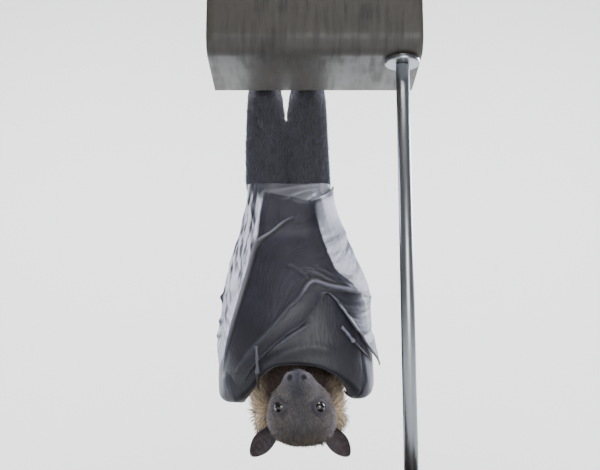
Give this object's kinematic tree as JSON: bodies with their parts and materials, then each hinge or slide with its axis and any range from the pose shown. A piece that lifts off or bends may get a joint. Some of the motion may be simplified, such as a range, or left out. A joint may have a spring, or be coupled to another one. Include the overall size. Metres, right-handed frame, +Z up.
{
  "type": "fruit bat",
  "caption": "Grey-headed flying fox at rest, hanging head down with its wings wrapped across its belly, from a cut length of gutter on a plain rod stand.",
  "frame": {"origin": "centre of the underside of the stand's base", "axes": "+Z up; the bat's belly and face look along -Y, and its own left side is at -X because it hangs head down"},
  "size_m": [0.19, 0.165, 0.3682],
  "materials": {
    "body_fur": "dense dark grey-brown fur, soft and lightly frosted",
    "mantle_fur": "long golden to rust-orange collar fur",
    "wing_membrane": "thin charcoal flight skin, finely wrinkled, satin with a greyish sheen",
    "bare_skin": "bare dark skin of the ears, nose and feet",
    "eye": "dark brown eye with a wet gloss",
    "claw_horn": "black-brown horn",
    "gutter_sheet": "weathered grey coated steel sheet",
    "stand_steel": "brushed steel rod and flange",
    "stand_base": "dark satin-lacquered board"
  },
  "bodies": {
    "root": {"trunk": "body_fur", "leg_left": "body_fur", "leg_right": "body_fur", "head": "body_fur", "collar": "mantle_fur", "wing_left_hand": "wing_membrane", "wing_right_hand": "wing_membrane", "wing_left_arm": "wing_membrane", "wing_right_arm": "wing_membrane", "foot_left": "bare_skin", "foot_right": "bare_skin", "ear_left": "bare_skin", "ear_right": "bare_skin", "eye_left": "eye", "eye_right": "eye", "thumb_left": "claw_horn", "thumb_right": "claw_horn", "perch_gutter": "gutter_sheet", "stand_rod": "stand_steel", "stand_flange": "stand_steel", "stand_base": "stand_base"}
  },
  "joints": []
}
